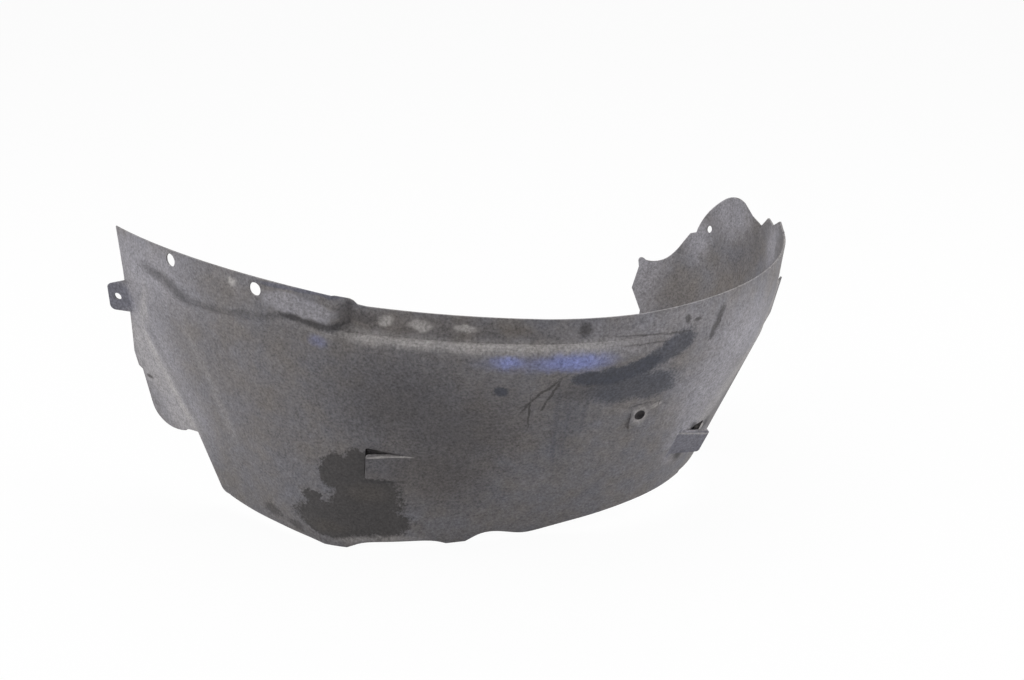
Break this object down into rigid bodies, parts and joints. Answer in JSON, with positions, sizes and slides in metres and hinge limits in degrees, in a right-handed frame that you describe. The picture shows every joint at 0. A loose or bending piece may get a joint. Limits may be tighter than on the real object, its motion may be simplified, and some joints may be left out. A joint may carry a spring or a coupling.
{
  "type": "wheel arch liner",
  "caption": "Moulded plastic wheel arch liner: a thin curved sheet with a rim band, mounting flange, fixing holes, lug, seat and clip tongues, used and dusty.",
  "frame": {"origin": "middle of the underside of the bounding box, on the floor that the liner stands on", "axes": "+X along the vehicle from the leg to the wheel's far side, +Y from the crown of the arch towards the wheel, +Z from the inboard edge up to the outer rim"},
  "size_m": [0.9204, 0.5956, 0.3919],
  "materials": {
    "liner": "moulded, dusty and stained"
  },
  "bodies": {
    "root": {"arch_liner": "liner"}
  },
  "joints": []
}
